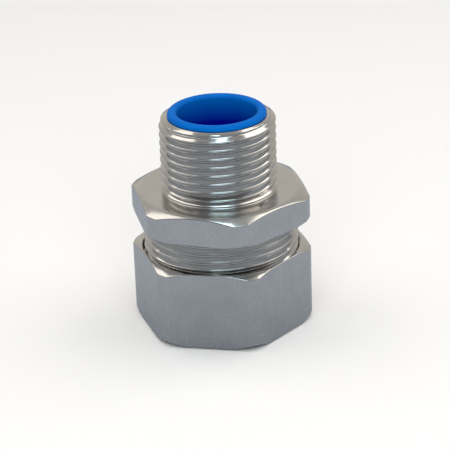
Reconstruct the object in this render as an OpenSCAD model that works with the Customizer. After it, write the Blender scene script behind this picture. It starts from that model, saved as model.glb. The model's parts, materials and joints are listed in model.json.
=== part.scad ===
// Straight liquid-tight connector for flexible metal conduit.
// Origin: centre of the compression nut's lower end face. +Z runs up the fitting's axis to the
// entry thread. Two flats of the body's hexagon face -Y and +Y.

/* [Hexagons] */
// Distance across the flats of the body's hexagon
body_across_flats = 28.4; // [28:0.1:29]
// Distance across the flats of the nut's hexagon
nut_across_flats = 28; // [27.9:0.1:28.6]
// Diameter that the corners of the body's hexagon are turned down to
body_corner_diameter = 31.5; // [30:0.1:32]
// Diameter that the corners of the nut's hexagon are turned down to
nut_corner_diameter = 31.2; // [30:0.1:32]
// Height of the body's hexagon
body_hex_height = 5.2; // [4:0.1:8]
// Height of the compression nut
nut_height = 14; // [13.6:0.1:16]
// Angle of the nut's hexagon past the body's, as left by the last turn
nut_turn = 7; // [0:1:59]

/* [Entry thread] */
// Major diameter of the entry thread
entry_diameter = 19.9; // [19.8:0.05:20.4]
// Height of the entry thread's metal end over the body's hexagon
entry_length = 13.1; // [10:0.1:16]
// Pitch of both threads
thread_pitch = 1.5; // [1.5:0.1:1.6]

/* [Gland thread] */
// Major diameter of the body's gland thread
gland_diameter = 26.76; // [26.5:0.02:26.8]
// Free thread between the nut and the body's hexagon at rest
free_thread = 5.3; // [5:0.1:7]
// Length of gland thread held in the nut at rest
engaged_thread = 3.8; // [3.2:0.1:3.9]
// Flat straight segments that make one turn of a thread
segments = 48; // [36:12:60]

/* [Conduit] */
// Outside diameter of the conduit that the nut lets in
conduit_diameter = 21.1; // [20.8:0.1:21.2]
// Diameter of the throat that the wires run through
throat_diameter = 13.6; // [13:0.1:14]
// Height of the liner's lip over the metal end
lip_height = 0.9; // [0.6:0.05:1.5]

/* [Hidden] */
$fn = 96;
// How far cutters reach past the surface that they cut
past = 1;

// Heights of the body's main steps
gland_end = nut_height - engaged_thread;
hex_base = nut_height + free_thread;
hex_top = hex_base + body_hex_height;
rim_top = hex_top + entry_length;
shoulder_height = hex_base - 2.3;
liner_base = hex_base + 0.7;

// Hexagon ends: radius where a chamfer starts, and how much it drops for each millimetre out
body_corner_radius = body_corner_diameter / 2;
body_low_face = body_corner_radius - 1;
body_high_face = body_corner_radius - 2;
body_chamfer_slope = 0.45;
nut_corner_radius = nut_corner_diameter / 2;
nut_low_face = nut_corner_radius - 0.95;
nut_high_face = nut_corner_radius - 1.25;
nut_chamfer_slope = 0.5;

// 60 degree thread form: depth, flat widths at crest and root, and the reach of a groove's cutter
thread_depth = 0.58 * thread_pitch;
flank_slope = tan(30);
crest_flat = 0.13 * thread_pitch;
root_flat = thread_pitch - crest_flat - 2 * thread_depth * flank_slope;
cutter_reach = 0.3;
thread_start = 0.5;

// Entry end, with a shallow run-out groove over the collar at the thread's foot
entry_radius = entry_diameter / 2;
first_entry_groove = hex_top + 2;
run_out_height = hex_top + 0.75;
run_out_depth = 0.45;
run_out_flat = 0.1;

// Throat liner, whose lip is a bell mouth on the inside and a quarter round on the outside
throat_radius = throat_diameter / 2;
liner_radius = throat_radius + 0.9;
lip_radius = liner_radius + 0.75;
lip_top = rim_top + lip_height;
bell_radius = lip_radius - lip_height;
bell_round = bell_radius - throat_radius;
bell_base = lip_top - bell_round;
rim_radius = lip_radius + 0.2;

// Gland end. The nut and body mesh because both count from one crest's height on the -Y side
gland_radius = gland_diameter / 2;
gland_root = gland_radius - thread_depth;
gland_bore_radius = 11.75;
crest_height = nut_height + 0.59;

// Compression nut's inside, from the conduit's hole up to the mouth
conduit_hole_radius = conduit_diameter / 2 + 0.35;
hole_chamfer = 0.4;
seat_base = 2.6;
chamber_radius = 12.3;
relief_base = seat_base + 2;
relief_top = relief_base + 1.3;
relief_radius = gland_radius + 0.12;
nut_root_radius = gland_radius + 0.17;
nut_crest_radius = gland_radius - 0.66;
nut_mouth_radius = 13.8;

// Sealing ring
ring_radius = chamber_radius - 0.2;
ring_bore_radius = conduit_diameter / 2 + 0.1;
ring_nose_radius = gland_bore_radius - 0.25;
ring_base = seat_base + 0.4;
ring_height = 5.4;
ring_edge = 0.3;
ring_flange = 2.6;
ring_step = 0.6;

// Grounding ferrule
ferrule_bore = throat_radius + 0.05;
ferrule_radius = 7.9;
ferrule_base = seat_base + 1;
ferrule_wall = 0.8;
skirt_radius = gland_bore_radius - 0.2;
skirt_base = shoulder_height - 3.6;
rib_pitch = 2.5;
rib_height = 0.4;
rib_half_width = 0.6;
rib_half_crest = 0.15;

// Loop of [radius, height] corners that covers one thread groove, from its flat root to a
// little past the surface that it is cut into. It serves for outside and inside threads.
function groove(root, surface, flat) =
    let (side = sign(surface - root))
    let (reach = abs(surface - root) + cutter_reach)
    let (half_root = side * flat / 2)
    let (half_top = side * (flat / 2 + reach * flank_slope))
    [
        [root, -half_root],
        [root + side * reach, -half_top],
        [root + side * reach, half_top],
        [root, half_root],
    ];

// Sweeps a loop of [radius, height] corners along a right-hand helix from one height to
// another. The helix passes the height "through" on the -Y side.
module helix(loop, from, to, through, pitch = thread_pitch)
{
    count = len(loop);
    last = round((to - from) / pitch * segments);
    first_angle = 360 * (from - through) / pitch - 90;
    points = [
        for (i = [0:last])
        let (angle = first_angle + 360 * i / segments)
        for (corner = loop)
        [
            corner[0] * cos(angle),
            corner[0] * sin(angle),
            corner[1] + from + pitch * i / segments,
        ]
    ];
    sides = [
        for (i = [0:last - 1])
        for (k = [0:count - 1])
        let (a = i * count + k)
        let (b = i * count + (k + 1) % count)
        each [[a, b, b + count], [a, b + count, a + count]]
    ];
    first_end = [[for (k = [count - 1:-1:0]) k]];
    last_end = [[for (k = [0:count - 1]) last * count + k]];
    polyhedron(points, concat(sides, first_end, last_end));
}

// Hexagon with its corners turned round and chamfered at both ends
module turned_hex(across_flats, height, corner_radius, low_face, high_face, slope)
{
    intersection() {
        cylinder(h = height, r = across_flats / sqrt(3), $fn = 6);
        rotate_extrude()
            polygon([
                [0, 0],
                [low_face, 0],
                [corner_radius, (corner_radius - low_face) * slope],
                [corner_radius, height - (corner_radius - high_face) * slope],
                [high_face, height],
                [0, height],
            ]);
    }
}

// Entry thread as plain rings at the true pitch, which keep its outside exactly measurable
module entry_thread()
{
    thread_loop = groove(entry_radius - thread_depth, entry_radius, root_flat);
    run_out_loop = groove(entry_radius - run_out_depth, entry_radius, run_out_flat);
    difference() {
        rotate_extrude()
            polygon([
                [0, hex_base + past],
                [entry_radius, hex_base + past],
                [entry_radius, rim_top - entry_radius + rim_radius],
                [rim_radius, rim_top],
                [0, rim_top],
            ]);
        for (height = [first_entry_groove:thread_pitch:rim_top])
            translate([0, 0, height])
                rotate_extrude()
                    polygon(thread_loop);
        translate([0, 0, run_out_height])
            rotate_extrude()
                polygon(run_out_loop);
    }
}

// Gland thread: a true right-hand helix, in mesh with the nut's, that runs up to the hexagon
module gland_thread()
{
    difference() {
        rotate_extrude()
            polygon([
                [0, gland_end],
                [gland_root, gland_end],
                [gland_radius, gland_end + thread_start],
                [gland_radius, hex_base + past],
                [0, hex_base + past],
            ]);
        helix(
            groove(gland_root, gland_radius, root_flat),
            from = gland_end - thread_pitch,
            to = hex_base + thread_pitch,
            through = crest_height + thread_pitch / 2
        );
    }
}

// One turned piece: entry thread, hexagon and gland thread, bored right through
module body()
{
    color([0.72, 0.71, 0.69])
        difference() {
            union() {
                entry_thread();
                gland_thread();
                translate([0, 0, hex_base])
                    turned_hex(
                        body_across_flats,
                        body_hex_height,
                        body_corner_radius,
                        body_low_face,
                        body_high_face,
                        body_chamfer_slope
                    );
            }
            rotate_extrude()
                polygon([
                    [0, gland_end - past],
                    [gland_bore_radius + thread_start + past, gland_end - past],
                    [gland_bore_radius, gland_end + thread_start],
                    [gland_bore_radius, shoulder_height],
                    [throat_radius, shoulder_height],
                    [throat_radius, liner_base],
                    [liner_radius, liner_base],
                    [liner_radius, rim_top + past],
                    [0, rim_top + past],
                ]);
        }
}

// Plastic bush that lines the entry bore, with a rounded lip over the metal end
module throat_liner()
{
    color([0, 0.4, 0.8])
        rotate_extrude()
            union() {
                translate([throat_radius, liner_base])
                    square([liner_radius - throat_radius, bell_base - liner_base]);
                intersection() {
                    translate([bell_radius, bell_base])
                        circle(bell_round);
                    union() {
                        translate([throat_radius, bell_base])
                            square([liner_radius - throat_radius, bell_round]);
                        translate([throat_radius, rim_top])
                            square([bell_round, lip_height]);
                    }
                }
                intersection() {
                    translate([bell_radius, rim_top])
                        circle(lip_height);
                    translate([bell_radius, rim_top])
                        square(lip_height);
                }
            }
}

// Hexagon nut with the gland's female thread, a bevelled seat for the sealing ring and the
// hole that the conduit goes in through
module compression_nut()
{
    color([0.72, 0.71, 0.69])
        difference() {
            rotate([0, 0, nut_turn])
                turned_hex(
                    nut_across_flats,
                    nut_height,
                    nut_corner_radius,
                    nut_low_face,
                    nut_high_face,
                    nut_chamfer_slope
                );
            rotate_extrude()
                polygon([
                    [0, -past],
                    [conduit_hole_radius + hole_chamfer + past, -past],
                    [conduit_hole_radius, hole_chamfer],
                    [conduit_hole_radius, seat_base],
                    [chamber_radius, seat_base + chamber_radius - conduit_hole_radius],
                    [chamber_radius, relief_base],
                    [relief_radius, relief_base],
                    [relief_radius, relief_top],
                    [nut_crest_radius, relief_top + thread_start],
                    [nut_crest_radius, nut_height - nut_mouth_radius + nut_crest_radius],
                    [nut_mouth_radius + past, nut_height + past],
                    [0, nut_height + past],
                ]);
            helix(
                groove(nut_root_radius, nut_crest_radius, crest_flat),
                from = (relief_base + relief_top) / 2,
                to = nut_height + thread_pitch,
                through = crest_height
            );
        }
}

// Double-bevelled nylon ring that the nut squeezes onto the conduit
module sealing_ring()
{
    bevel = ring_radius - ring_bore_radius - ring_edge;
    flange_top = ring_base + ring_flange;
    ring_top = ring_base + ring_height;
    color([0.93, 0.93, 0.9])
        rotate_extrude()
            polygon([
                [ring_bore_radius, ring_base],
                [ring_bore_radius + ring_edge, ring_base],
                [ring_radius, ring_base + bevel],
                [ring_radius, flange_top],
                [ring_nose_radius, flange_top + ring_step],
                [ring_nose_radius, ring_top - ring_edge],
                [ring_nose_radius - ring_edge, ring_top],
                [ring_bore_radius, ring_top],
            ]);
}

// Steel ferrule with an outer skirt and a coarse rolled rib, which screws into the conduit's
// metal core and grounds it to the body
module grounding_ferrule()
{
    rib_root = ferrule_radius - ring_edge;
    rib_crest = ferrule_radius + rib_height;
    flange_base = shoulder_height - ferrule_wall;
    color([0.62, 0.62, 0.6])
        union() {
            rotate_extrude()
                polygon([
                    [ferrule_bore, ferrule_base],
                    [ferrule_radius - ring_edge, ferrule_base],
                    [ferrule_radius, ferrule_base + thread_start],
                    [ferrule_radius, flange_base],
                    [skirt_radius - ferrule_wall, flange_base],
                    [skirt_radius - ferrule_wall, skirt_base],
                    [skirt_radius, skirt_base],
                    [skirt_radius, shoulder_height - ferrule_wall],
                    [skirt_radius - ferrule_wall, shoulder_height],
                    [ferrule_bore, shoulder_height],
                ]);
            helix(
                [
                    [rib_root, -rib_half_width],
                    [rib_crest, -rib_half_crest],
                    [rib_crest, rib_half_crest],
                    [rib_root, rib_half_width],
                ],
                from = ferrule_base + 1.4,
                to = flange_base - 1.2,
                through = ferrule_base + 1.4,
                pitch = rib_pitch
            );
        }
}

body();
throat_liner();
compression_nut();
sealing_ring();
grounding_ferrule();
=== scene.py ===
"""Looks for a straight liquid-tight connector for flexible metal conduit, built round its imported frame.

Each piece is a ring of columns: at every angle round the axis, a closed loop of (radius, height)
points, which starts and ends part-way along a straight wall or face. Lengths are in millimetres
until add_piece() turns them into metres.
"""

import json
import math

import bmesh
import bpy
import numpy as np
from mathutils import Matrix, Vector


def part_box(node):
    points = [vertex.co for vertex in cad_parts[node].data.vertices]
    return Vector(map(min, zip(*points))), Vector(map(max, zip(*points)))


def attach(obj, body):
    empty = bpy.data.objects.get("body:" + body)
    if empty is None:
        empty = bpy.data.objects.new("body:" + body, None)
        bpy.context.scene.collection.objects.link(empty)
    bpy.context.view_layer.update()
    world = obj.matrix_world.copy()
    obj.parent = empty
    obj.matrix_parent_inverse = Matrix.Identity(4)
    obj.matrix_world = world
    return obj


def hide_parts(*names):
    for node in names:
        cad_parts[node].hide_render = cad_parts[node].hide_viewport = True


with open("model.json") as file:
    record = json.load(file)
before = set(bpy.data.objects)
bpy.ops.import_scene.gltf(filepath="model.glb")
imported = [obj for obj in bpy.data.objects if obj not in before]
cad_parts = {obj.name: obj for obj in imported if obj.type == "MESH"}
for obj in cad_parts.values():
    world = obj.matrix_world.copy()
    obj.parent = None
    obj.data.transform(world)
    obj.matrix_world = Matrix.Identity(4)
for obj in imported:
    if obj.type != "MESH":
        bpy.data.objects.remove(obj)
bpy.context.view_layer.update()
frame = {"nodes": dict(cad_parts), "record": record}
MM = 0.001

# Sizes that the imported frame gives
MOUNTS = {mount["name"]: mount for mount in frame["record"]["mounts"]}
BOXES = {node: [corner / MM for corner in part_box(node)] for node in frame["nodes"]}
ENTRY_RADIUS = MOUNTS["entry_thread"]["dims"]["r_mm"]
THROAT_RADIUS = MOUNTS["wire_throat"]["dims"]["r_mm"]
HOLE_RADIUS = MOUNTS["conduit_hole"]["dims"]["r_mm"]
HEX_TOP = MOUNTS["entry_seat_face"]["pos_m"][2] / MM
GLAND_END = BOXES["body"][0].z
RIM_TOP = BOXES["body"][1].z
NUT_TOP = BOXES["compression_nut"][1].z
LINER_BASE = BOXES["throat_liner"][0].z
LIP_TOP = BOXES["throat_liner"][1].z
LIP_RADIUS = BOXES["throat_liner"][1].x
RING_RADIUS = BOXES["sealing_ring"][1].x
RING_BASE = BOXES["sealing_ring"][0].z
RING_TOP = BOXES["sealing_ring"][1].z
SKIRT_RADIUS = BOXES["grounding_ferrule"][1].x
FERRULE_BASE = BOXES["grounding_ferrule"][0].z
SHOULDER = BOXES["grounding_ferrule"][1].z

# Hexagons, whose corners are turned down. Flat distances and corner radii are from the axis
HEX_BASE = 19.3
BODY_FLAT_DISTANCE = 14.2
BODY_CORNER_RADIUS = 15.75
BODY_CORNER_ROUND = 0.7
NUT_FLAT_DISTANCE = 14
NUT_CORNER_RADIUS = 15.6
NUT_CORNER_ROUND = 0.9
NUT_ANGLE = 7
CHAMFER_ROUND = 2

# Threads, all 60 degree and right-hand. Each has a crest at its stated height on its stated side,
# which is an angle in degrees
PITCH = 1.5
THREAD_DEPTH = 0.87
CREST_FLAT = 0.195
CREST_ROUND = 0.155
FLANK_SLOPE = math.tan(math.radians(30))
ENTRY_CREST_HEIGHT = 25.8
ENTRY_SIDE = -72.1
GLAND_RADIUS = 13.38
GLAND_CREST_HEIGHT = 14.59
GLAND_SIDE = -90
NUT_GROOVE_RADIUS = GLAND_RADIUS + 0.17
NUT_CREST_RADIUS = GLAND_RADIUS - 0.66

# Walls inside the body where another piece sits
LINER_SEAT_RADIUS = THROAT_RADIUS + 0.9
GLAND_BORE_RADIUS = SKIRT_RADIUS + 0.2

# Meshes: angles in degrees, and tolerances
FULL_TURN = 360
SIDE_ANGLE = 60
HALF_SIDE = 30
COARSE_STEP = 2.5
EVEN_COLUMNS = 144
SNAP_DISTANCE = 0.01
MERGE_DISTANCE = 0.002
SHARP_ANGLE = 40


def rounded(corners, steps=3, hold=0.05):
    """Points along a line whose corners (x, y, radius) are rounded, with a point close by each side.

    hold is how far those points are from the round, and steps how many facets it has.
    """
    points = [corners[0][:2]]
    for before, here, after in zip(corners, corners[1:], corners[2:]):
        corner = Vector(here[:2])
        radius = here[2]
        into = (corner - Vector(before[:2])).normalized()
        out = (Vector(after[:2]) - corner).normalized()
        bend = into.angle_signed(out)
        tangent = radius * math.tan(abs(bend) / 2)
        start = corner - into * tangent
        stop = corner + out * tangent
        centre = start + Matrix.Rotation(-math.copysign(math.pi / 2, bend), 2) @ into * radius
        points.append(start - into * hold)
        for step in range(steps + 1):
            points.append(centre + Matrix.Rotation(-bend * step / steps, 2) @ (start - centre))
        points.append(stop + out * hold)
    points.append(corners[-1][:2])
    return np.array([tuple(point) for point in points])


def turned(*corners, **options):
    """Run of points that is the same all round the axis."""
    return rounded(corners, **options)[None]


def even_angles():
    """Evenly spaced column angles in degrees."""
    return np.linspace(0, FULL_TURN, EVEN_COLUMNS + 1)


class Hexagon:
    """Outline of a hexagon whose corners are turned down to a radius, with a round each side.

    start and stop are where the round at a turned corner begins and ends, in degrees from the
    middle of a flat.
    """

    def __init__(self, flat_distance, corner_radius, corner_round, turn):
        self.flat_distance = flat_distance
        self.corner_radius = corner_radius
        self.corner_round = corner_round
        self.turn = turn
        self.across = flat_distance - corner_round
        self.along = math.sqrt((corner_radius - corner_round) ** 2 - self.across**2)
        self.start = math.degrees(math.atan2(self.along, flat_distance))
        self.stop = math.degrees(math.atan2(self.along, self.across))

    def angles(self):
        """Column angles in degrees, closer together at the corners."""
        half = [*np.arange(0, self.start - 1, COARSE_STEP), self.start - 0.5]
        half += [*np.linspace(self.start, self.stop, 5), self.stop + 0.4, HALF_SIDE]
        side = [HALF_SIDE + sign * angle for sign in (-1, 1) for angle in half]
        side = np.unique(np.round(side, 4))[:-1]
        starts = range(self.turn, self.turn + FULL_TURN, SIDE_ANGLE)
        return np.array([start + angle for start in starts for angle in side] + [self.turn + FULL_TURN])

    def distances(self, angles):
        """Distance from the axis to the side at each angle."""
        off = np.abs((angles - self.turn) % SIDE_ANGLE - HALF_SIDE)
        ray = self.across * np.cos(np.radians(off)) + self.along * np.sin(np.radians(off))
        inside = self.corner_round**2 - self.across**2 - self.along**2 + ray**2
        corner = ray + np.sqrt(np.maximum(inside, 0))
        flat = self.flat_distance / np.cos(np.radians(off))
        return np.where(off <= self.start, flat, np.where(off < self.stop, corner, self.corner_radius))


def hex_end(side, height, face, slope, up, edge=0.2):
    """Columns from a hexagon's side, over its turned chamfer, to just inside its end face.

    side is each column's distance from the axis, face the radius where the chamfer starts, slope
    its drop for each millimetre out, and up is 1 at the top end and -1 at the bottom end. edge
    rounds the side into the chamfer. CHAMFER_ROUND rounds the chamfer into the face where it has
    room. Columns at the top end run the other way, so that they follow the loop.
    """
    steps = 3
    hold = 0.05
    tilt = math.atan(slope)
    inner = side - edge
    chamfer_at_side = -(inner - face) * slope - edge / math.cos(tilt)
    side_centre = np.minimum(chamfer_at_side, -edge)
    room = (inner - face + edge * math.sin(tilt)) / (math.sin(tilt) - math.tan(tilt / 2))
    face_round = np.clip(room, edge, CHAMFER_ROUND)
    face_centre = np.minimum(inner, face - face_round * math.tan(tilt / 2))
    rows = [(side, side_centre - hold)]
    for angle in np.linspace(0, math.pi / 2 - tilt, steps + 1):
        rows.append((inner + edge * math.cos(angle), side_centre + edge * math.sin(angle)))
    for angle in np.linspace(math.pi / 2 - tilt, math.pi / 2, steps + 1):
        rows.append((face_centre + face_round * math.cos(angle), face_round * (math.sin(angle) - 1)))
    rows.append((face_centre - hold, np.zeros_like(side)))
    run = np.stack([np.stack([radius, height + up * drop], -1) for radius, drop in rows], 1)
    return run if up < 0 else run[:, ::-1]


class Helix:
    """A right-hand helical form that repeats up the axis and passes a height at one angle."""

    def __init__(self, form, pitch, height, angle):
        self.rows = form[:-1, 0]
        self.radii = form[:-1, 1]
        self.pitch = pitch
        self.height = height
        self.angle = angle

    def finer(self, count):
        """The same helix with that many evenly spaced rows."""
        rows = np.linspace(-self.pitch / 2, self.pitch / 2, count + 1)
        radii = np.interp(rows, self.rows, self.radii, period=self.pitch)
        return Helix(np.stack([rows, radii], -1), self.pitch, self.height, self.angle)

    def columns(self, angles, low, high):
        """Columns up the form between two heights, in rows that follow its helix."""
        middle = self.height + self.pitch * (angles - self.angle) / FULL_TURN
        first = math.floor((low - middle.max()) / self.pitch) - 1
        last = math.ceil((high - middle.min()) / self.pitch) + 1
        rows = [turn * self.pitch + row for turn in range(first, last) for row in self.rows]
        heights = middle[:, None] + np.array(rows)
        heights = np.where(heights < low + SNAP_DISTANCE, low, heights)
        heights = np.where(heights > high - SNAP_DISTANCE, high, heights)
        phase = (heights - middle[:, None] + self.pitch / 2) % self.pitch - self.pitch / 2
        return np.stack([np.interp(phase, self.rows, self.radii, period=self.pitch), heights], -1)


def thread(outer, inner, height, angle, root_round, crest_round):
    """Helix of a 60 degree thread whose crest passes that height at that angle."""
    half_crest = CREST_FLAT / 2
    reach = half_crest + (outer - inner) * FLANK_SLOPE
    corners = [
        (-PITCH / 2, inner),
        (-reach, inner, root_round),
        (-half_crest, outer, crest_round),
        (half_crest, outer, crest_round),
        (reach, inner, root_round),
        (PITCH / 2, inner),
    ]
    return Helix(rounded(corners, steps=2, hold=0.005), PITCH, height, angle)


def column_mesh(name, angles, columns):
    """Mesh through columns of (radius, height) loops, one column at each angle."""
    count, rows = columns.shape[:2]
    turn = np.radians(angles)[:, None]
    radius = columns[..., 0]
    points = np.stack([radius * np.cos(turn), radius * np.sin(turn), columns[..., 1]], -1) * MM
    faces = []
    for start in range(0, (count - 1) * rows, rows):
        for row in range(rows):
            here = start + row
            above = start + (row + 1) % rows
            faces.append((here, here + rows, above + rows, above))
    mesh = bpy.data.meshes.new(name)
    mesh.from_pydata(points.reshape(-1, 3).tolist(), [], faces)
    return mesh


def close_seams(mesh):
    """Merges points that coincide, and turns every face outwards."""
    merged = bmesh.new()
    merged.from_mesh(mesh)
    bmesh.ops.remove_doubles(merged, verts=merged.verts, dist=MERGE_DISTANCE * MM)
    bmesh.ops.recalc_face_normals(merged, faces=merged.faces)
    merged.to_mesh(mesh)
    merged.free()


def add_piece(name, angles, runs, materials, body, node):
    """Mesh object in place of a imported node, from runs of columns and the index of each run's material."""
    columns = [np.broadcast_to(run, (len(angles), *run.shape[1:])) for run, _ in runs]
    finishes = [index for run, index in runs for _ in range(run.shape[1])]
    mesh = column_mesh(name, angles, np.concatenate(columns, axis=1))
    for material in materials:
        mesh.materials.append(material)
    mesh.polygons.foreach_set("material_index", finishes * (len(angles) - 1))
    close_seams(mesh)
    mesh.shade_smooth()
    mesh.set_sharp_from_angle(angle=math.radians(SHARP_ANGLE))
    piece = bpy.data.objects.new(name, mesh)
    bpy.context.scene.collection.objects.link(piece)
    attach(piece, body)
    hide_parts(node)


class Finish:
    """A node material: its Principled shader, and what drives it, in millimetres on the piece."""

    def __init__(self, name):
        self.material = bpy.data.materials.new(name)
        self.material.use_nodes = True
        self.tree = self.material.node_tree
        self.shader = self.tree.nodes["Principled BSDF"]
        place = self.tree.nodes.new("ShaderNodeTexCoord").outputs["Object"]
        self.point = self.vector("MULTIPLY", place, (1 / MM,) * 3)
        self.normal = None

    def feed(self, socket, value):
        """Links a socket, or sets its value."""
        if isinstance(value, bpy.types.NodeSocket):
            self.tree.links.new(value, socket)
        else:
            socket.default_value = value

    def vector(self, operation, first, second):
        """Result of a vector operation."""
        node = self.tree.nodes.new("ShaderNodeVectorMath")
        node.operation = operation
        self.feed(node.inputs[0], first)
        self.feed(node.inputs[1], second)
        return node.outputs["Value" if operation == "LENGTH" else "Vector"]

    def height(self):
        """The point's height."""
        parts = self.tree.nodes.new("ShaderNodeSeparateXYZ")
        self.feed(parts.inputs[0], self.point)
        return parts.outputs["Z"]

    def around(self):
        """The point as its distance from the axis, nearly nothing, and its height."""
        whole = self.tree.nodes.new("ShaderNodeCombineXYZ")
        flat = self.vector("MULTIPLY", self.point, (1, 1, 0))
        self.feed(whole.inputs["X"], self.vector("LENGTH", flat, (0, 0, 0)))
        self.feed(whole.inputs["Z"], self.height())
        drift = self.vector("MULTIPLY", self.point, (0.03, 0.03, 0))
        return self.vector("ADD", whole.outputs["Vector"], drift)

    def noise(self, point, scale, detail):
        """Noise value at a point, where scale is for each millimetre."""
        node = self.tree.nodes.new("ShaderNodeTexNoise")
        self.feed(node.inputs["Vector"], point)
        node.inputs["Scale"].default_value = scale
        node.inputs["Detail"].default_value = detail
        return node.outputs[0]

    def between(self, value, start, stop, low, high):
        """A value mapped from one range to another."""
        node = self.tree.nodes.new("ShaderNodeMapRange")
        names = ("Value", "From Min", "From Max", "To Min", "To Max")
        for name, entry in zip(names, (value, start, stop, low, high)):
            self.feed(node.inputs[name], entry)
        return node.outputs["Result"]

    def spread(self, noise, low, high):
        """The middle range of a noise value, mapped to another range."""
        return self.between(noise, 0.3, 0.7, low, high)

    def total(self, first, second):
        """Sum of two values."""
        node = self.tree.nodes.new("ShaderNodeMath")
        self.feed(node.inputs[0], first)
        self.feed(node.inputs[1], second)
        return node.outputs[0]

    def colours(self, value, first, second):
        """Colour between two, by a value from 0 to 1."""
        node = self.tree.nodes.new("ShaderNodeMix")
        node.data_type = "RGBA"
        # A Mix node has a set of sockets for each data type, and these are its colour ones
        for index, entry in ((0, value), (6, first), (7, second)):
            self.feed(node.inputs[index], (*entry, 1) if isinstance(entry, tuple) else entry)
        return node.outputs[2]

    def bump(self, height, depth):
        """Adds relief of that depth in millimetres."""
        node = self.tree.nodes.new("ShaderNodeBump")
        node.inputs["Distance"].default_value = depth * MM
        self.feed(node.inputs["Height"], height)
        if self.normal:
            self.feed(node.inputs["Normal"], self.normal)
        self.normal = node.outputs["Normal"]
        self.feed(self.shader.inputs["Normal"], self.normal)


# Noise, for each millimetre
CLOUD_SCALE = 0.3
GRAIN_SCALE = 6
LINE_STRETCH = 0.05

# Colours
NICKEL_TONES = ((0.66, 0.64, 0.61), (0.71, 0.69, 0.66))
ZINC_TONES = ((0.5, 0.53, 0.58), (0.6, 0.6, 0.56))
NYLON_TONES = ((0.76, 0.75, 0.7), (0.84, 0.84, 0.8))
BLUE_TONES = ((0.0, 0.132, 0.54), (0.0, 0.155, 0.6))
# Painted shade: the darker blue that the bush's colour turns to down inside the throat
BLUE_PAINTED_SHADE = (0.0, 0.004, 0.33)


def plate(name, roughness, marks, mark_scale, mark_depth, ripple, tones=NICKEL_TONES):
    """Plated metal. Its marks are rings round the axis, as from a lathe, or lines along a drawn bar.

    mark_depth and ripple are the depths of those marks and of the soft waves in the plating.
    """
    finish = Finish(name)
    if marks == "rings":
        place = finish.around()
    else:
        place = finish.vector("MULTIPLY", finish.point, (1, 1, LINE_STRETCH))
    lines = finish.noise(place, mark_scale, 3)
    clouds = finish.noise(finish.point, CLOUD_SCALE, 2)
    finish.feed(finish.shader.inputs["Base Color"], finish.colours(finish.spread(clouds, 0, 1), *tones))
    finish.shader.inputs["Metallic"].default_value = 1
    cloudy = finish.spread(clouds, 0.92 * roughness, 1.08 * roughness)
    streaky = finish.spread(lines, -0.1 * roughness, 0.1 * roughness)
    finish.feed(finish.shader.inputs["Roughness"], finish.total(cloudy, streaky))
    finish.bump(clouds, ripple)
    finish.bump(lines, mark_depth)
    return finish.material


def plastic(name, tones, roughness, shine, painted_shade=None):
    """Moulded plastic with a fine grain, a little uneven in colour.

    The last argument paints shade down inside the fitting: a darker colour, and the heights where that
    painted shade starts and is full.
    """
    finish = Finish(name)
    clouds = finish.noise(finish.point, CLOUD_SCALE, 3)
    grain = finish.noise(finish.point, GRAIN_SCALE, 3)
    colour = finish.colours(finish.spread(clouds, 0, 1), *tones)
    # Painted shade: down inside the fitting the colour darkens towards the last argument's colour
    if painted_shade:
        inside, start, full = painted_shade
        colour = finish.colours(finish.between(finish.height(), start, full, 0, 1), colour, inside)
    finish.feed(finish.shader.inputs["Base Color"], colour)
    grainy = finish.spread(grain, 0.9 * roughness, 1.1 * roughness)
    finish.feed(finish.shader.inputs["Roughness"], grainy)
    finish.shader.inputs["Specular IOR Level"].default_value = shine
    finish.bump(grain, 0.01)
    return finish.material


THREADS = plate("nickel_plate_threads", 0.11, "rings", mark_scale=5, mark_depth=0.0005, ripple=0.006)
TURNED = plate("nickel_plate_turned", 0.18, "rings", mark_scale=4, mark_depth=0.003, ripple=0.01)
DRAWN = plate("nickel_plate_drawn", 0.27, "lines", mark_scale=2, mark_depth=0.0002, ripple=0.01)
ZINC = plate(
    "zinc_plated_steel", 0.3, "rings", mark_scale=2.5, mark_depth=0.01, ripple=0.02, tones=ZINC_TONES
)
NYLON = plastic("white_nylon", NYLON_TONES, roughness=0.45, shine=0.4)
# Painted shade on the blue bush: darker from 1 mm under the lip's top, and full 4.8 mm under it
BLUE_PAINTED_SHADE_DEPTHS = (BLUE_PAINTED_SHADE, LIP_TOP - 1, LIP_TOP - 4.8)
BLUE = plastic("blue_plastic", BLUE_TONES, roughness=0.5, shine=0.05, painted_shade=BLUE_PAINTED_SHADE_DEPTHS)

# A brass piece's materials, and the index of each
NICKEL_FINISHES = [TURNED, DRAWN, THREADS]
ON_FACES = 0
ON_SIDES = 1
ON_THREADS = 2

ENTRY_THREAD = thread(
    outer=ENTRY_RADIUS,
    inner=ENTRY_RADIUS - THREAD_DEPTH,
    height=ENTRY_CREST_HEIGHT,
    angle=ENTRY_SIDE,
    root_round=0.22,
    crest_round=CREST_ROUND,
)
GLAND_THREAD = thread(
    outer=GLAND_RADIUS,
    inner=GLAND_RADIUS - THREAD_DEPTH,
    height=GLAND_CREST_HEIGHT,
    angle=GLAND_SIDE,
    root_round=0.2,
    crest_round=CREST_ROUND,
)
# The nut's grooves face the gland thread's crests
NUT_THREAD = thread(
    outer=NUT_GROOVE_RADIUS,
    inner=NUT_CREST_RADIUS,
    height=GLAND_CREST_HEIGHT,
    angle=GLAND_SIDE,
    root_round=0.1,
    crest_round=0.05,
)


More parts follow.
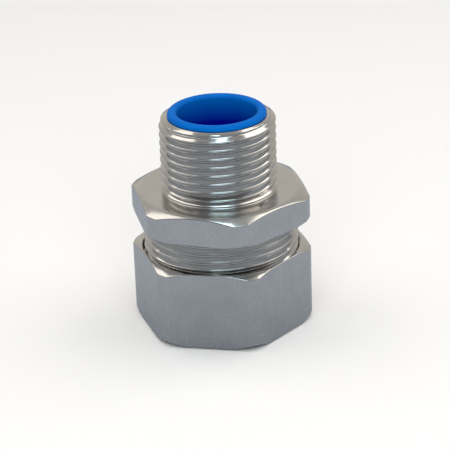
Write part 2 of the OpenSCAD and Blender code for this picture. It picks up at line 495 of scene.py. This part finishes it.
def entry_thread(angles):
    """Runs from inside the rim, over it, and down the thread and the collar to the hexagon's top face."""
    collar_radius = ENTRY_RADIUS - 0.05
    run_out = HEX_TOP + 0.75
    run_out_radius = ENTRY_RADIUS - 0.45
    fade_height = 0.8
    rim_radius = LIP_RADIUS + 0.2
    chamfer_height = 0.75
    chamfer_foot = RIM_TOP - chamfer_height
    chamfer_top = RIM_TOP - 0.1
    chamfer_curve = 1.3
    chamfer_rows = 36
    neck = turned(
        (ENTRY_RADIUS + 0.5, HEX_TOP),
        (collar_radius, HEX_TOP, 0.1),
        (collar_radius, run_out - 0.46, 0.08),
        (run_out_radius, run_out - 0.12, 0.05),
        (run_out_radius, run_out),
        hold=0.02,
    )
    shank = ENTRY_THREAD.columns(angles, run_out, chamfer_foot)
    rise = np.clip((shank[..., 1] - run_out) / fade_height, 0, 1)
    depth = (ENTRY_RADIUS - shank[..., 0]) * rise * rise * (3 - 2 * rise)
    relief = run_out_radius + np.maximum(shank[..., 1] - run_out - 0.05, 0) / FLANK_SLOPE
    shank[..., 0] = np.minimum(ENTRY_RADIUS - depth, relief)
    start = ENTRY_THREAD.finer(chamfer_rows).columns(angles, chamfer_foot, chamfer_top)
    up_chamfer = (start[..., 1] - chamfer_foot) / chamfer_height
    chamfer = ENTRY_RADIUS - (ENTRY_RADIUS - rim_radius) * up_chamfer**chamfer_curve
    start[..., 0] = np.minimum(start[..., 0], chamfer)
    rim = turned(
        (chamfer[0, -1], chamfer_top),
        (rim_radius, RIM_TOP, 0.04),
        (LINER_SEAT_RADIUS, RIM_TOP, 0.1),
        (LINER_SEAT_RADIUS, RIM_TOP - 3),
        hold=0.02,
    )
    runs = [(rim[:, 1:], ON_FACES), (start, ON_THREADS), (shank, ON_THREADS), (neck, ON_FACES)]
    return [(run[:, ::-1], finish) for run, finish in runs]


def body():
    """The brass body: entry thread, hexagon and gland thread, bored through."""
    hexagon = Hexagon(BODY_FLAT_DISTANCE, BODY_CORNER_RADIUS, BODY_CORNER_ROUND, 0)
    angles = hexagon.angles()
    side = hexagon.distances(angles)
    top = hex_end(side, HEX_TOP, BODY_CORNER_RADIUS - 2, 0.45, up=1)
    bottom = hex_end(side, HEX_BASE, BODY_CORNER_RADIUS - 1, 0.45, up=-1)
    gland_root = GLAND_RADIUS - THREAD_DEPTH
    gland = GLAND_THREAD.columns(angles, GLAND_END, HEX_BASE)
    gland[..., 0] = np.minimum(gland[..., 0], gland_root + (gland[..., 1] - GLAND_END) / FLANK_SLOPE)
    bore = turned(
        (gland_root, GLAND_END),
        (GLAND_BORE_RADIUS + 0.5, GLAND_END, 0.05),
        (GLAND_BORE_RADIUS, GLAND_END + 0.5, 0.1),
        (GLAND_BORE_RADIUS, SHOULDER, 0.1),
        (THROAT_RADIUS, SHOULDER, 0.1),
        (THROAT_RADIUS, LINER_BASE, 0.1),
        (LINER_SEAT_RADIUS, LINER_BASE, 0.1),
        (LINER_SEAT_RADIUS, LINER_BASE + 3),
    )
    runs = [
        *entry_thread(angles),
        (top[:, :-1], ON_FACES),
        (top[:, -1:], ON_SIDES),
        (bottom, ON_FACES),
        (gland[:, ::-1], ON_THREADS),
        (bore, ON_FACES),
    ]
    add_piece("body_shell", angles, runs, NICKEL_FINISHES, "body", "body")


def compression_nut():
    """The brass nut: conduit hole, coned ring seat, relief groove and female thread."""
    hexagon = Hexagon(NUT_FLAT_DISTANCE, NUT_CORNER_RADIUS, NUT_CORNER_ROUND, NUT_ANGLE)
    angles = hexagon.angles()
    side = hexagon.distances(angles)
    mouth_radius = 13.8
    chamber_radius = 12.3
    groove_radius = 13.5
    hole_top = 2.6
    groove_base = 4.6
    groove_top = 5.9
    thread_low = 6.4
    thread_high = NUT_TOP - mouth_radius + NUT_CREST_RADIUS
    top = hex_end(side, NUT_TOP, NUT_CORNER_RADIUS - 1.25, 0.5, up=1, edge=0.14)
    bottom = hex_end(side, 0, NUT_CORNER_RADIUS - 1.2, 0.8, up=-1, edge=0.5)
    hole = turned(
        (HOLE_RADIUS + 1, 0),
        (HOLE_RADIUS + 0.4, 0, 0.08),
        (HOLE_RADIUS, 0.4, 0.08),
        (HOLE_RADIUS, hole_top, 0.1),
        (chamber_radius, hole_top + chamber_radius - HOLE_RADIUS, 0.1),
        (chamber_radius, groove_base, 0.1),
        (groove_radius, groove_base, 0.1),
        (groove_radius, groove_top),
    )
    inside = NUT_THREAD.columns(angles, groove_top, NUT_TOP)
    height = inside[..., 1]
    lead = np.maximum(thread_low - height, height - thread_high).clip(0)
    radius = np.maximum(inside[..., 0], NUT_CREST_RADIUS + lead)
    inside[..., 0] = np.where(height < groove_top + 0.001, groove_radius, radius)
    runs = [
        (top[:, :-1], ON_FACES),
        (top[:, -1:], ON_SIDES),
        (bottom, ON_FACES),
        (hole, ON_FACES),
        (inside, ON_THREADS),
    ]
    add_piece("nut_shell", angles, runs, NICKEL_FINISHES, "nut", "compression_nut")


def throat_liner():
    """The blue bush: a tube with a bell mouth and a lip that rests on the rim."""
    middle = LINER_BASE + 8
    lip = LIP_TOP - RIM_TOP
    under = 0.14
    bell = LIP_RADIUS - THROAT_RADIUS - lip - 0.02
    mouth = turned(
        (THROAT_RADIUS, middle),
        (THROAT_RADIUS, LIP_TOP, bell),
        (LIP_RADIUS, LIP_TOP),
        steps=8,
        hold=0.01,
    )
    rim = turned(
        (LIP_RADIUS - lip, LIP_TOP),
        (LIP_RADIUS, LIP_TOP, lip - under - 0.03),
        (LIP_RADIUS, RIM_TOP),
        steps=8,
        hold=0.01,
    )
    foot = turned(
        (LIP_RADIUS, RIM_TOP + under + 0.01),
        (LIP_RADIUS, RIM_TOP, under),
        (LINER_SEAT_RADIUS, RIM_TOP, 0.06),
        (LINER_SEAT_RADIUS, LINER_BASE, 0.1),
        (THROAT_RADIUS, LINER_BASE, 0.1),
        (THROAT_RADIUS, middle - 1),
        hold=0.01,
    )
    runs = [(mouth[:, :-1], 0), (rim[:, 1:-1], 0), (foot[:, 1:], 0)]
    add_piece("liner_bush", even_angles(), runs, [BLUE], "body", "throat_liner")


def sealing_ring():
    """The nylon ring, bevelled at both ends."""
    bore = HOLE_RADIUS - 0.25
    nose = SKIRT_RADIUS - 0.05
    ring = turned(
        (bore, RING_BASE + 2),
        (bore, RING_BASE, 0.05),
        (bore + 0.3, RING_BASE, 0.05),
        (RING_RADIUS, RING_BASE + RING_RADIUS - bore - 0.3, 0.1),
        (RING_RADIUS, RING_BASE + 2.6, 0.1),
        (nose, RING_BASE + 3.2, 0.1),
        (nose, RING_TOP - 0.3, 0.05),
        (nose - 0.3, RING_TOP, 0.05),
        (bore, RING_TOP, 0.05),
        (bore, RING_TOP - 2),
    )
    add_piece("gland_ring", even_angles(), [(ring, 0)], [NYLON], "seal", "sealing_ring")


def coarse_rib(angles, sleeve, low, high):
    """Columns up the ferrule's sleeve between two heights, with a helical rib that fades at its ends."""
    pitch = 2.5
    rib_height = 0.4
    foot = 0.41
    top = 0.15
    rib_start = low + 0.6
    fade_low = low + 0.2
    fade_high = high - 0.4
    fade_height = 0.8
    corners = [
        (-pitch / 2, sleeve),
        (-foot, sleeve, 0.1),
        (-top, sleeve + rib_height, 0.1),
        (top, sleeve + rib_height, 0.1),
        (foot, sleeve, 0.1),
        (pitch / 2, sleeve),
    ]
    rib = Helix(rounded(corners, hold=0.02), pitch, rib_start, -90).columns(angles, low, high)
    from_end = np.minimum(rib[..., 1] - fade_low, fade_high - rib[..., 1])
    rib[..., 0] = sleeve + (rib[..., 0] - sleeve) * from_end.clip(0, fade_height) / fade_height
    return rib


def grounding_ferrule():
    """The steel ferrule: a sleeve with a coarse rolled thread, and a skirt round the conduit's end."""
    bore = THROAT_RADIUS + 0.05
    sleeve = 7.9
    wall = 0.8
    skirt_length = 3.6
    rib_low = FERRULE_BASE + 0.8
    rib_high = SHOULDER - wall - 0.4
    angles = even_angles()
    skirt = turned(
        (bore, SHOULDER - 3),
        (bore, SHOULDER, 0.1),
        (SKIRT_RADIUS - wall, SHOULDER, 0.1),
        (SKIRT_RADIUS, SHOULDER - wall, 0.2),
        (SKIRT_RADIUS, SHOULDER - skirt_length, 0.1),
        (SKIRT_RADIUS - wall, SHOULDER - skirt_length, 0.1),
        (SKIRT_RADIUS - wall, SHOULDER - wall, 0.2),
        (sleeve, SHOULDER - wall, 0.2),
        (sleeve, rib_high),
    )
    rib = coarse_rib(angles, sleeve, rib_low, rib_high)
    end = turned(
        (sleeve, rib_low),
        (sleeve, FERRULE_BASE + 0.5, 0.1),
        (sleeve - 0.3, FERRULE_BASE, 0.05),
        (bore, FERRULE_BASE, 0.05),
        (bore, FERRULE_BASE + 3),
    )
    runs = [(skirt[:, :-1], 0), (rib[:, ::-1], 0), (end[:, 1:], 0)]
    add_piece("steel_ferrule", angles, runs, [ZINC], "body", "grounding_ferrule")


# The camera stands above the front, turned toward +X, and leans a little
CAMERA_AZIMUTH = math.radians(17.9)
CAMERA_ELEVATION = math.radians(24.26)
CAMERA_ROLL = math.radians(2.07)
CAMERA_DISTANCE = 332.1
CAMERA_AIM = (0.71, 0, 17.03)
CAMERA_LENS = 153.3

# Lights, floor and surroundings
LIGHT_AIM = (0, 0, 20)
WHITE = (1, 1, 1)
WARM = (1, 0.96, 0.9)
COOL = (0.62, 0.87, 1)
FLOOR_SEEN = (0.97, 0.97, 0.97)
# Painted shade: the floor's colour as mirror-like reflections see it, darker near a point in front of the
# fitting and lighter further off
MIRRORED_PAINTED_SHADE_NEAR = (0.328, 0.367, 0.42)
MIRRORED_PAINTED_SHADE_FAR = (0.388, 0.437, 0.505)
PAINTED_SHADE_DARKEST = (0, -25, 0)
PAINTED_SHADE_REACH = (8, 32)
FLOOR_HALF = 1500
SURROUNDINGS = [
    (0, (0.1, 0.11, 0.13)),
    (0.5, (0.29, 0.29, 0.29)),
    (0.8, (0.38, 0.37, 0.355)),
    (1, (0.6, 0.575, 0.53)),
]


def round_axis(azimuth, vector):
    """A vector in millimetres, turned by an angle round the axis and given in metres."""
    return Matrix.Rotation(azimuth, 3, "Z") @ Vector(vector) * MM


def add_camera():
    """The scene's camera."""
    data = bpy.data.cameras.new("camera")
    data.lens = CAMERA_LENS
    camera = bpy.data.objects.new("camera", data)
    bpy.context.scene.collection.objects.link(camera)
    aim = round_axis(CAMERA_AZIMUTH, CAMERA_AIM)
    away = (0, -math.cos(CAMERA_ELEVATION), math.sin(CAMERA_ELEVATION))
    back = round_axis(CAMERA_AZIMUTH, away).normalized()
    right = round_axis(CAMERA_AZIMUTH, (1, 0, 0)).normalized()
    up = back.cross(right)
    turn = Matrix((right, up, back)).transposed() @ Matrix.Rotation(-CAMERA_ROLL, 3, "Z")
    camera.matrix_world = Matrix.Translation(aim + back * CAMERA_DISTANCE * MM) @ turn.to_4x4()
    bpy.context.scene.camera = camera


def add_light(
    name, azimuth, elevation, distance, size, brightness, colour=WHITE, glossy=True, diffuse=True
):
    """Area light of a given brightness that faces the fitting. Azimuth 0 is the camera's side."""
    data = bpy.data.lights.new(name, "AREA")
    data.shape = "RECTANGLE"
    data.size, data.size_y = (edge * MM for edge in size)
    data.energy = brightness * math.pi * data.size * data.size_y
    data.color = colour
    light = bpy.data.objects.new(name, data)
    bpy.context.scene.collection.objects.link(light)
    rise = math.radians(elevation)
    away = (0, -math.cos(rise) * distance, math.sin(rise) * distance)
    light.location = round_axis(CAMERA_AZIMUTH + math.radians(azimuth), away)
    target = Vector(LIGHT_AIM) * MM
    light.rotation_euler = (target - light.location).to_track_quat("-Z", "Y").to_euler()
    light.visible_camera = False
    light.visible_glossy = glossy
    light.visible_diffuse = diffuse


def add_lights():
    """Two large side softboxes, three narrow cool strips over the camera and two soft fills."""
    for azimuth, brightness in ((-105, 1.1), (105, 1.4)):
        add_light(
            "side_softbox",
            azimuth,
            elevation=50,
            distance=450,
            size=(400, 300),
            brightness=brightness,
            colour=WARM,
        )
    for azimuth, width in ((-16.2, 86), (3.9, 132), (26.4, 102)):
        add_light(
            "strip_light",
            azimuth,
            elevation=70,
            distance=500,
            size=(width, 500),
            brightness=1.75,
            colour=COOL,
            diffuse=False,
        )
    add_light("fill", 0, elevation=89, distance=600, size=(700, 700), brightness=0.8, glossy=False)
    add_light("front_fill", 0, elevation=35, distance=600, size=(500, 300), brightness=3.2, glossy=False)


def add_floor():
    """Pale floor. Only mirror-like reflections see it darker: a painted shaded copy, bluer, and darkest
    close in front of the fitting.
    """
    half = FLOOR_HALF * MM
    mesh = bpy.data.meshes.new("floor")
    corners = [(-half, -half, 0), (half, -half, 0), (half, half, 0), (-half, half, 0)]
    mesh.from_pydata(corners, [], [(0, 1, 2, 3)])
    floor = bpy.data.objects.new("floor", mesh)
    bpy.context.scene.collection.objects.link(floor)
    finish = Finish("floor")
    finish.shader.inputs["Roughness"].default_value = 0.9
    finish.shader.inputs["Specular IOR Level"].default_value = 0
    # Painted shade on the floor for reflections: darkest at that point, lighter from 8 to 32 mm away
    painted_shade_centre = round_axis(CAMERA_AZIMUTH, PAINTED_SHADE_DARKEST) / MM
    away = finish.vector("LENGTH", finish.vector("SUBTRACT", finish.point, tuple(painted_shade_centre)), (0, 0, 0))
    painted_shade_mirrored = finish.colours(finish.between(away, *PAINTED_SHADE_REACH, 0, 1), MIRRORED_PAINTED_SHADE_NEAR, MIRRORED_PAINTED_SHADE_FAR)
    in_mirror = finish.tree.nodes.new("ShaderNodeLightPath").outputs["Is Glossy Ray"]
    finish.feed(finish.shader.inputs["Base Color"], finish.colours(in_mirror, FLOOR_SEEN, painted_shade_mirrored))
    mesh.materials.append(finish.material)


def add_world():
    """Soft surroundings: warm and pale behind the fitting, darker on the camera's side."""
    world = bpy.data.worlds.new("studio")
    bpy.context.scene.world = world
    world.use_nodes = True
    tree = world.node_tree
    place = tree.nodes.new("ShaderNodeTexCoord")
    along = tree.nodes.new("ShaderNodeVectorMath")
    along.operation = "DOT_PRODUCT"
    along.inputs[1].default_value = round_axis(CAMERA_AZIMUTH, (0, 1, 0)) / MM
    tree.links.new(place.outputs["Generated"], along.inputs[0])
    spread = tree.nodes.new("ShaderNodeMapRange")
    spread.inputs["From Min"].default_value = -1
    tree.links.new(along.outputs["Value"], spread.inputs["Value"])
    ramp = tree.nodes.new("ShaderNodeValToRGB")
    elements = ramp.color_ramp.elements
    for position, _ in SURROUNDINGS[1:-1]:
        elements.new(position)
    for element, (position, colour) in zip(elements, SURROUNDINGS):
        element.position = position
        element.color = (*colour, 1)
    tree.links.new(spread.outputs["Result"], ramp.inputs["Fac"])
    tree.links.new(ramp.outputs["Color"], tree.nodes["Background"].inputs["Color"])


body()
compression_nut()
throat_liner()
sealing_ring()
grounding_ferrule()
add_camera()
add_lights()
add_floor()
add_world()
bpy.context.scene.view_settings.view_transform = "Standard"
